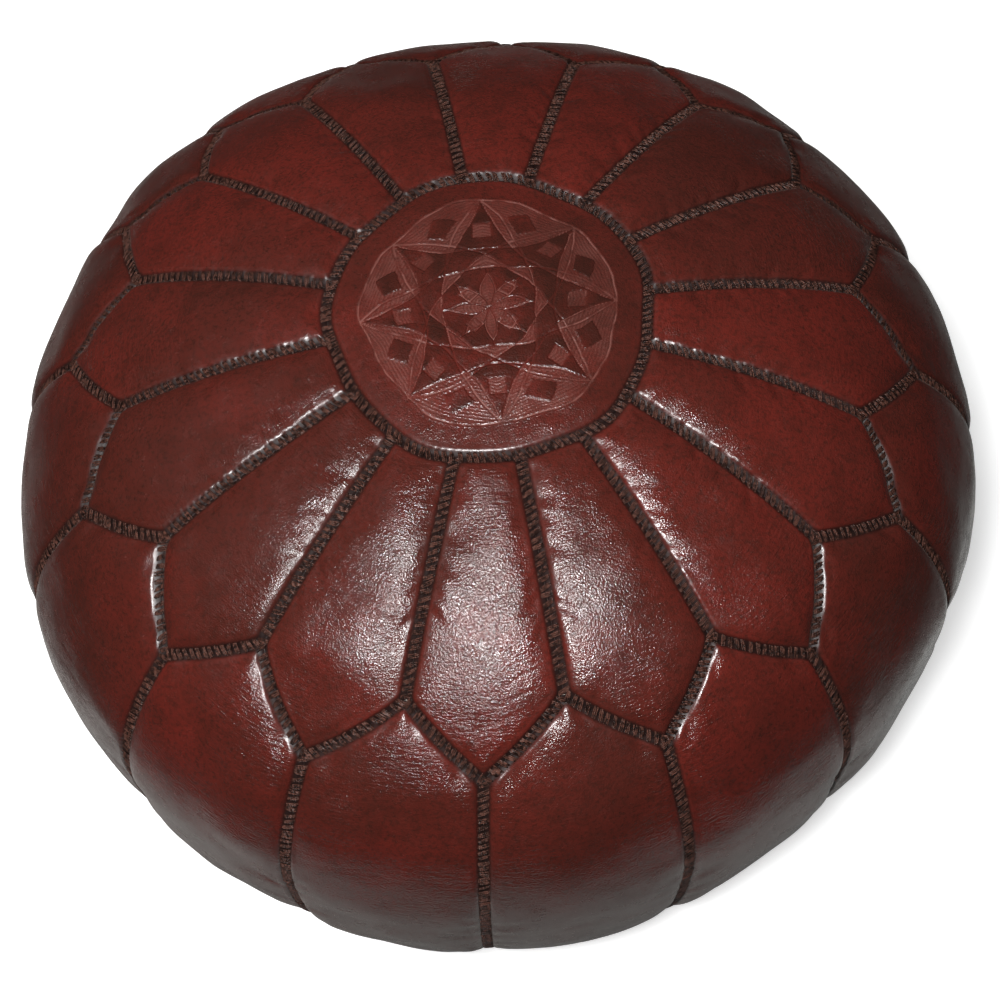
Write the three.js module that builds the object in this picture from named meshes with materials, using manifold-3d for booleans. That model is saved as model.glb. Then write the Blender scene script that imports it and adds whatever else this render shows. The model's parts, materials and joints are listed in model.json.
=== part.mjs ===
// A stuffed leather floor pouf: a round medallion, a ring of pointed petals and a ring of side
// panels, whip-stitched together over a firm stuffing, with a two-piece zipped base.
// Millimetres, +Z up, the origin on the floor under the middle of the base.

import * as THREE from 'three';
import { mergeVertices } from 'three/addons/utils/BufferGeometryUtils.js';
import Module from 'manifold-3d';

// ---- Driving dimensions -------------------------------------------------------------------

// The stuffed body.
const BODY_RADIUS = 275;          // at its widest
const FLOOR_TO_WIDEST = 172;
const WIDEST_TO_TOP = 163;
const TOP_POWER = 2.26;           // superellipse power of the upper half; 2 is a plain ellipse
const SIDE_POWER = 2.6;           // the same for the side below the widest level
const SIDE_REACH = 250;           // depth at which the side's curve would close
const HEEL_DEPTH = 142;           // below the widest level, where the side starts to roll under

// The cover's pattern.
const SECTORS = 16;
const MEDALLION_RADIUS = 84;      // to the middle of its seam
const SPOKE_END_RADIUS = 200;     // where two petals and the peak of a side panel meet
const PETAL_TIP_RADIUS = 232;     // where two side panels and the tip of a petal meet
const BASE_RADIUS = 160;          // to the middle of the base seam
const LEATHER = 2;                // thickness

// The seams: the panels stop short of each seam line and a band of thread fills the channel.
const SEAM_HALF_WIDTH = 2;
const THREAD_RADIUS = 1.6;
const THREAD_DEPTH = 0.5;         // middle of the thread below the leather's outer face
const THREAD_DEPTH_UNDERNEATH = 2;  // deeper where the body stands on it
const THREAD_SIDES = 5;
const CLEARANCE = 0.3;

const STUFFING_DEPTH = 4;         // the stuffing's surface below the cover's outer face
const STUFFING_UNDERSIDE = 17.5;  // height of its flat underside, just above the zip

// The zip, in the middle of the base, along X.
const ZIP_HALF_LENGTH = 107.2;    // half the length of the rows of teeth
const ZIP_HEIGHT = 13;            // middle of the chain above the floor
const ZIP_OPENING = 6.5;          // from the middle to the folded edge of the leather
const RECESS = 10.4;              // outer face of the leather above the floor beside the zip
const ROW_GAP = 0.6;              // from the middle to each row of teeth
const ROW_WIDTH = 2.8;
const ROW_HEIGHT = 2.4;
const TOOTH_PITCH = 3.5;
const TOOTH_WIDTH = 1.7;
const TOOTH_REACH = 1.5;          // from the strip that joins a row's teeth to their tips
const TAPE_WIDTH = 12.3;
const TAPE_THICKNESS = 0.6;
const TAPE_OVERHANG = 10.5;       // tape beyond each end of the teeth
const ZIP_STITCH_RADIUS = 0.4;    // the fine thread that holds each tape to the leather
const ZIP_STITCH_OFFSET = 10.5;   // from the middle of the zip
const END_SEAM = [131, 154];      // the base's halves are sewn together between these X
const STOP_LENGTH = 3;
const STOP_HEIGHT = 3.6;
const SLIDER_LENGTH = 14;
const SLIDER_WIDTH = 10;
const SLIDER_PLATE = 1.5;
const SLIDER_GAP = 3.2;           // between its two plates
const SLIDER_X = 100;             // its middle, with the zip closed
const RAIL_HEIGHT = 0.9;
const RAIL_WIDTH = 1;
const BRIDGE_LENGTH = 8;
const BRIDGE_HEIGHT = 3.3;
const BRIDGE_BAR = 1.2;
const BRIDGE_WIDTH = 2.4;
const TAB_PIVOT_DROP = 4.4;       // pivot of the pull tab below the middle of the chain
const TAB_LENGTH = 24;
const TAB_START = 5.4;            // from the pivot to the solid part of the tab
const TAB_WIDTH = 8;
const TAB_THICKNESS = 1.2;
const TAB_ARM = 1;
const TAB_EYE_HALF_WIDTH = 2.9;
const TAB_HANG = 8;               // degrees that the tab hangs below level at rest

// ---- Materials ----------------------------------------------------------------------------

const leather = () => new THREE.MeshStandardMaterial({ color: 0x561d1a, roughness: 0.35, metalness: 0 });
const thread = () => new THREE.MeshStandardMaterial({ color: 0x2e211b, roughness: 0.7, metalness: 0 });
const wadding = () => new THREE.MeshStandardMaterial({ color: 0xb8ad98, roughness: 1, metalness: 0 });
const tape = () => new THREE.MeshStandardMaterial({ color: 0x241a17, roughness: 0.9, metalness: 0 });
const brass = () => new THREE.MeshStandardMaterial({ color: 0x9c7b3f, roughness: 0.35, metalness: 1 });

// ---- Solids: warping, joining and naming ----------------------------------------------------

const wasm = await Module();
wasm.setup();

// The same surface with only its positions, and one vertex where several met.
function bare(geometry) {
  const plain = geometry.clone();
  plain.deleteAttribute('normal');
  plain.deleteAttribute('uv');
  return mergeVertices(plain, 1e-4);
}

// Moves every vertex of a closed geometry to place(vertex), which keeps its right-handedness.
function warp(geometry, place) {
  const shape = bare(geometry);
  const position = shape.getAttribute('position');
  const vertex = new THREE.Vector3();
  for (let i = 0; i < position.count; i++) {
    vertex.fromBufferAttribute(position, i);
    const moved = place(vertex);
    position.setXYZ(i, moved.x, moved.y, moved.z);
  }
  shape.computeVertexNormals();
  return shape;
}

function toManifold(geometry) {
  const shape = bare(geometry);
  return new wasm.Manifold(new wasm.Mesh({
    numProp: 3,
    vertProperties: new Float32Array(shape.getAttribute('position').array),
    triVerts: new Uint32Array(shape.getIndex().array),
  }));
}

function toGeometry(solid) {
  const mesh = solid.getMesh();
  const geometry = new THREE.BufferGeometry();
  geometry.setAttribute('position', new THREE.BufferAttribute(new Float32Array(mesh.vertProperties), 3));
  geometry.setIndex(new THREE.BufferAttribute(new Uint32Array(mesh.triVerts), 1));
  geometry.computeVertexNormals();
  return geometry;
}

function join(geometries) {
  return toGeometry(geometries.map(toManifold).reduce((whole, next) => whole.add(next)));
}

function box(lengthX, lengthY, lengthZ, x, y, z) {
  return new THREE.BoxGeometry(lengthX, lengthY, lengthZ).translate(x, y, z);
}

const pouf = new THREE.Group();

function add(name, geometry, material) {
  const mesh = new THREE.Mesh(geometry, material);
  mesh.name = name;
  pouf.add(mesh);
  return mesh;
}

const numbered = (name, index) => `${name}_${String(index + 1).padStart(2, '0')}`;

// ---- The body's profile ---------------------------------------------------------------------

// Half of the body's outline, from the middle of the top round to the base seam, as closely
// spaced points with their distance along the outline.
function makeProfile() {
  const points = [];
  const turns = 240;
  for (let i = 0; i <= turns; i++) {
    const angle = (i / turns) * Math.PI / 2;
    points.push({
      r: BODY_RADIUS * Math.sin(angle) ** (2 / TOP_POWER),
      z: FLOOR_TO_WIDEST + WIDEST_TO_TOP * Math.max(Math.cos(angle), 0) ** (2 / TOP_POWER),
    });
  }
  const sideRadius = (depth) =>
    BODY_RADIUS * (1 - (depth / SIDE_REACH) ** SIDE_POWER) ** (1 / SIDE_POWER);
  for (let depth = 2; depth <= HEEL_DEPTH; depth += 2) {
    points.push({ r: sideRadius(depth), z: FLOOR_TO_WIDEST - depth });
  }
  const heelStart = Math.atan(sideRadius(HEEL_DEPTH - 0.5) - sideRadius(HEEL_DEPTH + 0.5));
  const heelRadius = (FLOOR_TO_WIDEST - HEEL_DEPTH) / (1 - Math.sin(heelStart));
  const heelCentre = sideRadius(HEEL_DEPTH) - heelRadius * Math.cos(heelStart);
  const heelSteps = 24;
  for (let i = 1; i <= heelSteps; i++) {
    const angle = heelStart + (Math.PI / 2 - heelStart) * (i / heelSteps);
    points.push({
      r: heelCentre + heelRadius * Math.cos(angle),
      z: heelRadius * (1 - Math.sin(angle)),
    });
  }
  points.push({ r: BASE_RADIUS - 10, z: 0 });
  let along = 0;
  points.forEach((point, i) => {
    if (i > 0) along += Math.hypot(point.r - points[i - 1].r, point.z - points[i - 1].z);
    point.s = along;
  });
  return { points, heelLength: heelRadius * (Math.PI / 2 - heelStart) };
}

const profile = makeProfile();

// Radius, height and outward normal on the outline, at the distance s from the top's middle.
function onProfile(s) {
  const { points } = profile;
  let i = points.findIndex((point) => point.s > s);
  if (i < 1) i = i < 0 ? points.length - 1 : 1;
  const [a, b] = [points[i - 1], points[i]];
  const share = (s - a.s) / (b.s - a.s);
  const length = b.s - a.s;
  return {
    r: a.r + share * (b.r - a.r),
    z: a.z + share * (b.z - a.z),
    normalR: (a.z - b.z) / length,
    normalZ: (b.r - a.r) / length,
  };
}

// The distance s at which the upper half, or the underside, has the radius r.
function upperAt(r) {
  const i = profile.points.findIndex((point) => point.r >= r);
  const [a, b] = [profile.points[i - 1], profile.points[i]];
  return a.s + (b.s - a.s) * (r - a.r) / (b.r - a.r);
}
const undersideAt = (r) => S_FLOOR + (onProfile(S_FLOOR).r - r);

const S_MEDALLION = upperAt(MEDALLION_RADIUS);
const S_SPOKE_END = upperAt(SPOKE_END_RADIUS);
const S_PETAL_TIP = upperAt(PETAL_TIP_RADIUS);
const S_WIDEST = upperAt(BODY_RADIUS * 0.99999);
const S_HEEL = profile.points.find((point) => point.z <= FLOOR_TO_WIDEST - HEEL_DEPTH).s;
const S_FLOOR = S_HEEL + profile.heelLength;
const S_BASE_SEAM = undersideAt(BASE_RADIUS);
const SECTOR = 2 * Math.PI / SECTORS;
const HALF_SECTOR = SECTOR / 2;

// A point at the angle theta round the body and s along its outline, depth below the surface.
function onBody(theta, s, depth) {
  const { r, z, normalR, normalZ } = onProfile(s);
  const radius = r - depth * normalR;
  return new THREE.Vector3(
    radius * Math.cos(theta),
    radius * Math.sin(theta),
    z - depth * normalZ,
  );
}

function bodyNormal(theta, s) {
  const { normalR, normalZ } = onProfile(s);
  return new THREE.Vector3(normalR * Math.cos(theta), normalR * Math.sin(theta), normalZ);
}

// Places along the side, close together where it rolls under.
const SIDE_STATIONS = [
  S_WIDEST,
  (S_WIDEST + S_HEEL) / 2,
  S_HEEL,
  S_HEEL + (S_FLOOR - S_HEEL) / 3,
  S_HEEL + (S_FLOOR - S_HEEL) * 2 / 3,
  S_FLOOR,
];

// ---- Leather panels -------------------------------------------------------------------------

// Places from a panel's top edge down to the widest level, where the body curves most.
const overShoulder = (top) => [0, 0.3, 0.55, 0.78].map((share) => top + (S_WIDEST - top) * share);

// A curved panel of even thickness. rows(across) lists the distances s of its rows, top first,
// at a share across from -1 to 1, and halfAngle(s) is half its width there.
function panel(middle, rows, halfAngle, columns) {
  const rowCount = rows(0).length - 1;
  return warp(new THREE.BoxGeometry(2, rowCount, 1, columns, rowCount, 1), ({ x, y, z }) => {
    const s = rows(x)[Math.round(rowCount / 2 - y)];
    return onBody(middle + x * halfAngle(s), s, (0.5 - z) * LEATHER);
  });
}

const panelHalfAngle = (s) => HALF_SECTOR - SEAM_HALF_WIDTH / onProfile(s).r;
// The zigzag seam runs at about 45 degrees to the outline, so its width along s is larger.
const ZIGZAG_HALF_WIDTH = SEAM_HALF_WIDTH * Math.SQRT2;
const ZIGZAG_DROP = S_PETAL_TIP - S_SPOKE_END;

function petal(index) {
  const start = S_MEDALLION + SEAM_HALF_WIDTH;
  const steps = 4;
  const rows = (across) => {
    const share = Math.abs(across) * panelHalfAngle(S_SPOKE_END) / HALF_SECTOR;
    const end = S_PETAL_TIP - ZIGZAG_DROP * share - ZIGZAG_HALF_WIDTH;
    return Array.from({ length: steps + 1 }, (_, i) => start + (end - start) * i / steps);
  };
  return panel((index + 0.5) * SECTOR, rows, panelHalfAngle, 4);
}

function sidePanel(index) {
  const rows = (across) => {
    const share = Math.abs(across) * panelHalfAngle(S_PETAL_TIP) / HALF_SECTOR;
    const top = S_SPOKE_END + ZIGZAG_DROP * share + ZIGZAG_HALF_WIDTH;
    return [...overShoulder(top), ...SIDE_STATIONS, S_BASE_SEAM - SEAM_HALF_WIDTH];
  };
  return panel(index * SECTOR, rows, panelHalfAngle, 4);
}

function turned(outline, segments) {
  const points = outline.map(([r, z]) => new THREE.Vector2(r, z));
  return bare(new THREE.LatheGeometry(points, segments).rotateX(Math.PI / 2));
}

function medallion() {
  const edge = S_MEDALLION - SEAM_HALF_WIDTH;
  const face = (depth) => [0.34, 0.68, 1].map((share) => {
    const { r, z, normalR, normalZ } = onProfile(edge * share);
    return [r - depth * normalR, z - depth * normalZ];
  });
  const top = FLOOR_TO_WIDEST + WIDEST_TO_TOP;
  return turned([[0, top - LEATHER], ...face(LEATHER), ...face(0).reverse(), [0, top]], 48);
}

const smoothStep = (from, to, value) => THREE.MathUtils.smoothstep(value, from, to);

// Height of the base's outer face: level with the floor, and rising to the recess round the zip.
function baseHeight(x, y) {
  const besideZip = 1 - smoothStep(18, 75, Math.abs(y));
  const beyondZip = 1 - smoothStep(119, 156, Math.abs(x));
  return RECESS * besideZip * beyondZip;
}

// Half of the round base, on the +Y side of the zip. Its straight edge steps back from the
// middle along the zip and meets the other half beyond it.
function baseHalf() {
  const columns = 18;
  const rowShares = [0, 0.12, 0.34, 0.65, 1];
  const rowCount = rowShares.length - 1;
  const firstAngle = THREE.MathUtils.degToRad(2.5);
  const radius = BASE_RADIUS - SEAM_HALF_WIDTH;
  const grid = new THREE.BoxGeometry(columns, rowCount, 1, columns, rowCount, 1);
  return warp(grid, ({ x, y, z }) => {
    const angle = firstAngle + (Math.PI - 2 * firstAngle) * (x / columns + 0.5);
    const placeX = radius * Math.cos(angle);
    const rim = radius * Math.sin(angle);
    const beyondTape = smoothStep(119, 130, Math.abs(placeX));
    const edge = THREE.MathUtils.lerp(ZIP_OPENING, SEAM_HALF_WIDTH, beyondTape);
    const placeY = edge + (rim - edge) * rowShares[Math.round(y + rowCount / 2)];
    return new THREE.Vector3(placeX, placeY, baseHeight(placeX, placeY) + (0.5 - z) * LEATHER);
  });
}

function addCover() {
  add('medallion', medallion(), leather());
  for (let i = 0; i < SECTORS; i++) {
    add(numbered('petal', i), petal(i), leather());
  }
  for (let i = 0; i < SECTORS; i++) {
    add(numbered('side_panel', i), sidePanel(i), leather());
  }
  add('base_half_back', baseHalf(), leather());
  add('base_half_front', baseHalf(), leather()).rotation.z = Math.PI;
}

// ---- Seam threads ---------------------------------------------------------------------------

// The band of thread along a seam, through places of { theta, s, depth }.
function seam(places) {
  const steps = places.length - 1;
  const centre = places.map(({ theta, s, depth }) => onBody(theta, s, depth));
  const bar = new THREE.CylinderGeometry(THREAD_RADIUS, THREAD_RADIUS, steps, THREAD_SIDES, steps);
  return warp(bar, ({ x, y, z }) => {
    const i = Math.round(steps / 2 - y);
    const back = new THREE.Vector3()
      .subVectors(centre[Math.max(i - 1, 0)], centre[Math.min(i + 1, steps)])
      .normalize();
    const out = bodyNormal(places[i].theta, places[i].s);
    const side = new THREE.Vector3().crossVectors(back, out).normalize();
    return centre[i].clone().addScaledVector(side, x).addScaledVector(out, z);
  });
}

function threadRing(radius, height, segments) {
  return new THREE.TorusGeometry(radius, THREAD_RADIUS, THREAD_SIDES, segments).translate(0, 0, height);
}

function between(from, to, steps) {
  return Array.from({ length: steps + 1 }, (_, i) => ({
    theta: THREE.MathUtils.lerp(from.theta, to.theta, i / steps),
    s: THREE.MathUtils.lerp(from.s, to.s, i / steps),
    depth: THREAD_DEPTH,
  }));
}

// The seams between neighbouring petals, and the zigzag between the petals and the side.
function petalSeams() {
  const seams = [];
  const clearOfRing = THREAD_RADIUS + SEAM_HALF_WIDTH;
  for (let i = 0; i < SECTORS; i++) {
    const theta = i * SECTOR;
    const peak = { theta, s: S_SPOKE_END };
    seams.push(seam(between({ theta, s: S_MEDALLION + clearOfRing }, peak, 3)));
    for (const side of [-1, 1]) {
      const tip = { theta: theta + side * HALF_SECTOR, s: S_PETAL_TIP };
      seams.push(seam(between(peak, tip, 2)));
    }
  }
  return join(seams);
}

// The seams between neighbouring side panels, and the seam round the base that they run into.
function sideSeams() {
  const clearOfZigzag = 2 * SEAM_HALF_WIDTH;
  const seams = [threadRing(BASE_RADIUS, THREAD_DEPTH_UNDERNEATH, 48)];
  for (let i = 0; i < SECTORS; i++) {
    const theta = (i + 0.5) * SECTOR;
    const start = S_PETAL_TIP + clearOfZigzag;
    const stations = [...overShoulder(start), ...SIDE_STATIONS, S_BASE_SEAM];
    seams.push(seam(stations.map((s) => ({
      theta,
      s,
      depth: s >= S_FLOOR ? THREAD_DEPTH_UNDERNEATH : THREAD_DEPTH,
    }))));
  }
  return join(seams);
}

// The short seam that joins the two halves of the base beyond one end of the zip.
function baseEndSeam(side) {
  const steps = 4;
  const length = END_SEAM[1] - END_SEAM[0];
  const bar = new THREE.CylinderGeometry(THREAD_RADIUS, THREAD_RADIUS, length, THREAD_SIDES, steps);
  const along = bar.rotateZ(Math.PI / 2).translate(side * (END_SEAM[0] + length / 2), 0, 0);
  return warp(along, ({ x, y, z }) =>
    new THREE.Vector3(x, y, z + baseHeight(x, 0) + THREAD_DEPTH_UNDERNEATH));
}

function addThreads() {
  const { z, normalZ } = onProfile(S_MEDALLION);
  const ring = threadRing(MEDALLION_RADIUS, z - THREAD_DEPTH * normalZ, 48);
  add('medallion_seam_thread', ring, thread());
  add('petal_seam_thread', petalSeams(), thread());
  add('side_seam_thread', sideSeams(), thread());
  add('base_end_seam_thread_left', baseEndSeam(-1), thread());
  add('base_end_seam_thread_right', baseEndSeam(1), thread());
}

// ---- Stuffing -------------------------------------------------------------------------------

// Fills the cover, down to a flat underside that leaves room for the zip and its recess.
function addStuffing() {
  const upper = [60, MEDALLION_RADIUS, 120, 160].map(upperAt);
  const stations = [...upper, ...overShoulder(S_SPOKE_END), ...SIDE_STATIONS];
  const skin = stations.map((s) => {
    const { r, z, normalR, normalZ } = onProfile(s);
    return [r - STUFFING_DEPTH * normalR, z - STUFFING_DEPTH * normalZ];
  }).reverse();
  const first = skin.findIndex(([, z]) => z > STUFFING_UNDERSIDE);
  const [[r0, z0], [r1, z1]] = [skin[first - 1], skin[first]];
  const rim = r0 + (r1 - r0) * (STUFFING_UNDERSIDE - z0) / (z1 - z0);
  const outline = [
    [0, STUFFING_UNDERSIDE],
    [rim, STUFFING_UNDERSIDE],
    ...skin.slice(first),
    [0, FLOOR_TO_WIDEST + WIDEST_TO_TOP - STUFFING_DEPTH],
  ];
  add('stuffing', turned(outline, 32), wadding());
}

// ---- Zip ------------------------------------------------------------------------------------

// One row of teeth on the +Y side, joined by a strip along the tape, as a comb. The first tooth
// starts at shift from the row's -X end.
function teethRow(shift) {
  const strip = ROW_GAP + TOOTH_REACH;
  const outline = [[ZIP_HALF_LENGTH, strip], [ZIP_HALF_LENGTH, ROW_GAP + ROW_WIDTH],
    [-ZIP_HALF_LENGTH, ROW_GAP + ROW_WIDTH], [-ZIP_HALF_LENGTH, strip]];
  const last = ZIP_HALF_LENGTH - TOOTH_WIDTH - 0.2;
  for (let x = shift - ZIP_HALF_LENGTH; x < last; x += TOOTH_PITCH) {
    outline.push([x, strip], [x + 0.15, ROW_GAP], [x + TOOTH_WIDTH - 0.15, ROW_GAP],
      [x + TOOTH_WIDTH, strip]);
  }
  const shape = new THREE.Shape(outline.map(([x, y]) => new THREE.Vector2(x, y)));
  const comb = new THREE.ExtrudeGeometry(shape, { depth: ROW_HEIGHT, bevelEnabled: false });
  return comb.translate(0, 0, -ROW_HEIGHT / 2);
}

function addZipChain() {
  const tapeLength = 2 * (ZIP_HALF_LENGTH + TAPE_OVERHANG);
  const rowMiddle = ROW_GAP + ROW_WIDTH / 2;
  const stitchHeight = RECESS - CLEARANCE - ZIP_STITCH_RADIUS;
  const tapeMiddle = ROW_GAP + ROW_WIDTH + CLEARANCE + TAPE_WIDTH / 2;
  const stopMiddle = ZIP_HALF_LENGTH + CLEARANCE + STOP_LENGTH / 2;
  for (const [name, side] of [['back', 1], ['front', -1]]) {
    const webbing = box(tapeLength, TAPE_WIDTH, TAPE_THICKNESS, 0, side * tapeMiddle, ZIP_HEIGHT);
    add(`zip_tape_${name}`, webbing, tape());
    const stitch = new THREE.CylinderGeometry(ZIP_STITCH_RADIUS, ZIP_STITCH_RADIUS, tapeLength, 6);
    stitch.rotateZ(Math.PI / 2).translate(0, side * ZIP_STITCH_OFFSET, stitchHeight);
    add(`zip_stitching_${name}`, stitch, thread());
    const row = add(`zip_teeth_${name}`, teethRow(side > 0 ? 0.6 : 0.6 + TOOTH_PITCH / 2), brass());
    row.position.z = ZIP_HEIGHT;
    row.rotation.z = side > 0 ? 0 : Math.PI;
    const stop = box(STOP_LENGTH, ROW_WIDTH, STOP_HEIGHT, stopMiddle, side * rowMiddle, ZIP_HEIGHT);
    add(`zip_top_stop_${name}`, stop, brass());
  }
  const bothRows = 2 * (ROW_GAP + ROW_WIDTH);
  const lastStop = box(STOP_LENGTH, bothRows, STOP_HEIGHT, -stopMiddle, 0, ZIP_HEIGHT);
  add('zip_bottom_stop', lastStop, brass());
}

// A slider plate with cut corners, wider towards the mouth, lying on the plane z = 0.
function sliderPlate() {
  const half = SLIDER_LENGTH / 2;
  const wide = SLIDER_WIDTH / 2;
  const outline = new THREE.Shape([
    [-half, wide - 1.6], [-half + 1.6, wide - 0.8], [1, wide], [half - 1.2, wide], [half, wide - 1.6],
    [half, 1.6 - wide], [half - 1.2, -wide], [1, -wide], [-half + 1.6, 0.8 - wide], [-half, 1.6 - wide],
  ].map(([x, y]) => new THREE.Vector2(x, y)));
  return new THREE.ExtrudeGeometry(outline, { depth: SLIDER_PLATE, bevelEnabled: false });
}

// The bridge that holds the pull tab: a staple lying along X under the lower plate.
function sliderBridge() {
  const half = BRIDGE_LENGTH / 2;
  const outline = new THREE.Shape([
    [-half, 0.2], [-half, 0.8 - BRIDGE_HEIGHT], [-half + 0.8, -BRIDGE_HEIGHT],
    [half - 0.8, -BRIDGE_HEIGHT], [half, 0.8 - BRIDGE_HEIGHT], [half, 0.2],
    [half - BRIDGE_BAR, 0.2], [half - BRIDGE_BAR, BRIDGE_BAR - BRIDGE_HEIGHT],
    [BRIDGE_BAR - half, BRIDGE_BAR - BRIDGE_HEIGHT], [BRIDGE_BAR - half, 0.2],
  ].map(([x, z]) => new THREE.Vector2(x, z)));
  const staple = new THREE.ExtrudeGeometry(outline, { depth: BRIDGE_WIDTH, bevelEnabled: false });
  return staple.rotateX(Math.PI / 2).translate(0, BRIDGE_WIDTH / 2, 0);
}

function slider() {
  const lowerFace = ZIP_HEIGHT - SLIDER_GAP / 2;
  const upperFace = ZIP_HEIGHT + SLIDER_GAP / 2;
  const railLength = SLIDER_LENGTH - 5;
  const railMiddle = SLIDER_WIDTH / 2 - RAIL_WIDTH / 2;
  const rails = [];
  for (const side of [-1, 1]) {
    const low = lowerFace + RAIL_HEIGHT / 2 - 0.1;
    const high = upperFace - RAIL_HEIGHT / 2 + 0.1;
    rails.push(box(railLength, RAIL_WIDTH, RAIL_HEIGHT + 0.2, 0.5, side * railMiddle, low));
    rails.push(box(railLength, RAIL_WIDTH, RAIL_HEIGHT + 0.2, 0.5, side * railMiddle, high));
  }
  const postThickness = 2 * (ROW_GAP - CLEARANCE);
  const post = box(2.5, postThickness, SLIDER_GAP + 0.4, SLIDER_LENGTH / 2 - 2.2, 0, ZIP_HEIGHT);
  return join([
    sliderPlate().translate(0, 0, lowerFace - SLIDER_PLATE),
    sliderPlate().translate(0, 0, upperFace),
    ...rails,
    post,
    sliderBridge().translate(0, 0, lowerFace - SLIDER_PLATE),
  ]).translate(SLIDER_X, 0, 0);
}

// The pull tab, level, its pivot along Y at the origin and its tip towards -X.
function pullTab() {
  const wide = TAB_WIDTH / 2;
  const neck = TAB_EYE_HALF_WIDTH;
  const outline = new THREE.Shape([
    [-TAB_START, neck], [-TAB_START - 4, neck], [-TAB_START - 8, wide], [3 - TAB_LENGTH, wide],
    [1 - TAB_LENGTH, wide - 1.2], [-TAB_LENGTH, wide - 2.6], [-TAB_LENGTH, 2.6 - wide],
    [1 - TAB_LENGTH, 1.2 - wide], [3 - TAB_LENGTH, -wide], [-TAB_START - 8, -wide],
    [-TAB_START - 4, -neck], [-TAB_START, -neck],
  ].map(([x, y]) => new THREE.Vector2(x, y)));
  const hole = new THREE.Path().absarc(4.6 - TAB_LENGTH, 0, 1.6, 0, 2 * Math.PI, true);
  outline.holes.push(hole);
  const blade = new THREE.ExtrudeGeometry(outline, {
    depth: TAB_THICKNESS,
    bevelEnabled: false,
    curveSegments: 6,
  }).translate(0, 0, -TAB_THICKNESS / 2);
  const armLength = TAB_START + 1;
  const armMiddle = TAB_EYE_HALF_WIDTH - TAB_ARM / 2;
  const arms = [-1, 1].map((side) =>
    box(armLength, TAB_ARM, TAB_THICKNESS, -armLength / 2 + 0.4, side * armMiddle, 0));
  const crossBar = new THREE.CylinderGeometry(0.6, 0.6, 2 * TAB_EYE_HALF_WIDTH - 0.4, 10);
  return join([blade, ...arms, crossBar]);
}

function addZip() {
  addZipChain();
  add('zip_slider', slider(), brass());
  const tab = add('zip_pull_tab', pullTab(), brass());
  tab.position.set(SLIDER_X, 0, ZIP_HEIGHT - TAB_PIVOT_DROP);
  tab.rotation.y = -THREE.MathUtils.degToRad(TAB_HANG);
}

addCover();
addThreads();
addStuffing();
addZip();

export default pouf;
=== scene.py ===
import json
import math

import bpy
import numpy as np
from mathutils import Matrix, Vector


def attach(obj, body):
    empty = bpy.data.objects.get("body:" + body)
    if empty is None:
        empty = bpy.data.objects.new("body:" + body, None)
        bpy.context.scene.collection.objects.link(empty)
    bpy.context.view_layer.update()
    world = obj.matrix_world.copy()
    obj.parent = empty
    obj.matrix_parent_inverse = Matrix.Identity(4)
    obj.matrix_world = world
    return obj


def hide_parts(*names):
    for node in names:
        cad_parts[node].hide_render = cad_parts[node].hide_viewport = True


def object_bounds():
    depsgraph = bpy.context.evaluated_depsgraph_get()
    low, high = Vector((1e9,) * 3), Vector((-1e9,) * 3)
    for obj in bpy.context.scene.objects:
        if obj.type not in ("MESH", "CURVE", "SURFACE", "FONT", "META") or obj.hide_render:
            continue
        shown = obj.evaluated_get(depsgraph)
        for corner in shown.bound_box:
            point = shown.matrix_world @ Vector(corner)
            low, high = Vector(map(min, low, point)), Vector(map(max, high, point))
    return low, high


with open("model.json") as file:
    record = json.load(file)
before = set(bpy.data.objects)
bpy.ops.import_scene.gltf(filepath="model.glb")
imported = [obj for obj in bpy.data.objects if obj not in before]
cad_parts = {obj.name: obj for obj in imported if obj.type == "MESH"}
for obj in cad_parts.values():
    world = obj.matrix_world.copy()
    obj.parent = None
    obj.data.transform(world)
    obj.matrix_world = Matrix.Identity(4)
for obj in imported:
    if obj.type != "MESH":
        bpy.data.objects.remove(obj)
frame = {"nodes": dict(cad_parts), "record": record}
CAD_LOW, CAD_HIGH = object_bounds()
MM = 0.001

# ---- Driving dimensions: the body and the cover's pattern, as in the CAD model ----

RADIUS = (CAD_HIGH.x - CAD_LOW.x) / 2
HEIGHT = CAD_HIGH.z
WIDEST = 172 * MM                 # height of the widest level
TOP_RISE = HEIGHT - WIDEST
TOP_POWER = 2.26
SIDE_POWER = 2.6
SIDE_REACH = 250 * MM
HEEL_DEPTH = 142 * MM
SECTORS = 16
SECTOR = 2 * math.pi / SECTORS
HALF = SECTOR / 2
MEDALLION_RADIUS = 84 * MM
SPOKE_END_RADIUS = 200 * MM
PETAL_TIP_RADIUS = 232 * MM
BASE_RADIUS = 160 * MM
LEATHER = 1.8 * MM
MEDALLION_CROWN = 2.5 * MM
FLOOR_GAP = 0.3 * MM              # everything that lies on the floor stays this far above it

# The seams.
EDGE_GAP = 0.05 * MM              # from a seam's middle to each panel's cut edge
SHOULDER = 3.15 * MM              # where the stitches bend the leather down into the seam
SHOULDER_SOFTNESS = 0.2 * MM
SEAM_SLOPE = 0.65
ROLL_WIDTH = 1.4 * MM             # the cut edge rolls down over this width
ROLL_DEPTH = 1.2 * MM
RIDGE = 0.15 * MM                 # the leather stands up just beyond the stitches
RIDGE_AT = 1.4 * SHOULDER
RIDGE_WIDTH = 0.4 * SHOULDER
PUFF = 1.5 * MM                   # how much it fills out beside them
PUFF_WIDTH = 6 * MM
SINK = 1.4 * MM                   # seams are drawn in this much where the body stands on them
STITCH_PITCH = 3.9 * MM
STITCH_REACH = 2.75 * MM          # from a seam's middle to the holes on each side
STITCH_SLANT = 1.8 * MM           # how far the two holes of a stitch are offset along the seam
STRANDS = 3
STRAND_RADIUS = 0.43 * MM
STRAND_SPACING = 0.92 * MM
PUCKER = 0.25 * MM                # depth of the dimple that each stitch pulls in the leather
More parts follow.
